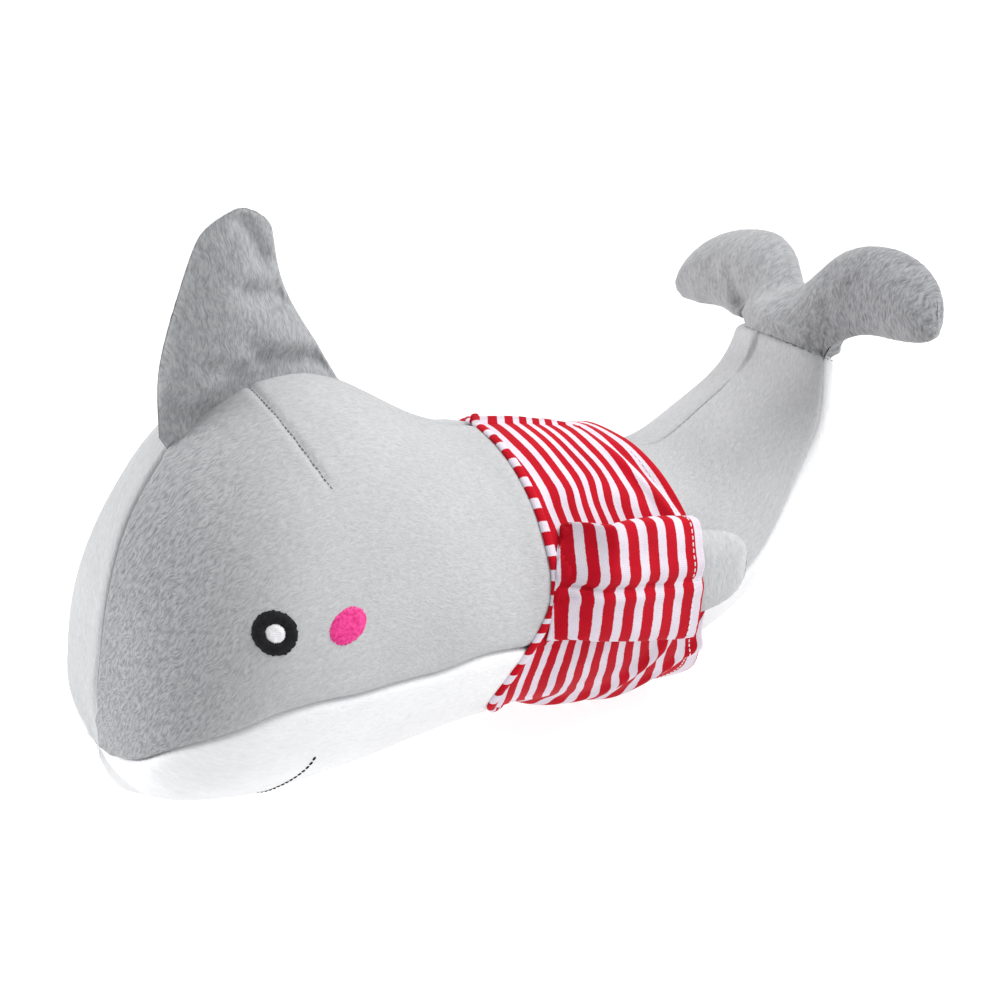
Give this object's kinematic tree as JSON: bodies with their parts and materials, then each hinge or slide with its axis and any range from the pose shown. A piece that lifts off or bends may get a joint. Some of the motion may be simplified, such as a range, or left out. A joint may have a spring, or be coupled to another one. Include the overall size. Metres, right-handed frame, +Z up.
{
  "type": "plush shark",
  "caption": "Soft grey and white plush shark lying on its belly, wearing a red and white striped shirt with sleeves over its flippers.",
  "frame": {"origin": "on the floor under the middle of the toy", "axes": "+Z up, nose towards -Y, the shark's left side towards +X"},
  "size_m": [0.1398, 0.3166, 0.2005],
  "materials": {
    "grey_plush": "short directional pile, soft sheen",
    "white_plush": "short directional pile, soft sheen",
    "striped_jersey": "matt knit with red and white stripes",
    "black_thread": "satin-stitched embroidery",
    "white_thread": "sewing thread",
    "pink_thread": "satin-stitched embroidery",
    "filling": "loose polyester fibre"
  },
  "bodies": {
    "body": {"side_panel_left": "grey_plush", "side_panel_right": "grey_plush", "belly_panel": "white_plush", "body_stuffing": "filling", "eye_ring_left": "black_thread", "eye_ring_right": "black_thread", "eye_highlight_left": "white_thread", "eye_highlight_right": "white_thread", "cheek_patch_left": "pink_thread", "cheek_patch_right": "pink_thread", "mouth_thread": "black_thread", "shirt_body": "striped_jersey", "neck_binding": "striped_jersey", "shirt_hem_thread": "white_thread"},
    "tail": {"tail_panel_left": "grey_plush", "tail_panel_right": "grey_plush", "tail_belly_panel": "white_plush", "tail_stuffing": "filling"},
    "fluke": {"fluke_front_panel": "grey_plush", "fluke_rear_panel": "grey_plush", "fluke_stuffing": "filling"},
    "dorsal_fin": {"dorsal_fin_panel_left": "grey_plush", "dorsal_fin_panel_right": "grey_plush", "dorsal_fin_stuffing": "filling"},
    "flipper_left": {"flipper_outer_panel_left": "grey_plush", "flipper_inner_panel_left": "grey_plush", "flipper_stuffing_left": "filling", "sleeve_left": "striped_jersey", "sleeve_hem_thread_left": "white_thread"},
    "flipper_right": {"flipper_outer_panel_right": "grey_plush", "flipper_inner_panel_right": "grey_plush", "flipper_stuffing_right": "filling", "sleeve_right": "striped_jersey", "sleeve_hem_thread_right": "white_thread"}
  },
  "joints": [
    {"name": "tail_bend", "type": "hinge", "parent": "body", "child": "tail", "pos_m": [0, 0.072, 0.0575], "axis": [1, 0, 0], "range_deg": [-18, 18], "stiffness_Nm_per_rad": 1.2},
    {"name": "fluke_fold", "type": "hinge", "parent": "tail", "child": "fluke", "pos_m": [0.0015, 0.13177, 0.12253], "axis": [1, 0, 0], "range_deg": [-24, 24], "stiffness_Nm_per_rad": 0.35},
    {"name": "dorsal_fin_flop", "type": "hinge", "parent": "body", "child": "dorsal_fin", "pos_m": [0, -0.098, 0.147], "axis": [0, 1, 0], "range_deg": [-24, 24], "stiffness_Nm_per_rad": 0.4},
    {"name": "flipper_left_swing", "type": "hinge", "parent": "body", "child": "flipper_left", "pos_m": [0.0596, -0.0095, 0.074], "axis": [0, 0, -1], "range_deg": [0, 50], "stiffness_Nm_per_rad": 0.06},
    {"name": "flipper_right_swing", "type": "hinge", "parent": "body", "child": "flipper_right", "pos_m": [-0.0596, -0.0095, 0.074], "axis": [0, 0, 1], "range_deg": [0, 50], "stiffness_Nm_per_rad": 0.06}
  ]
}
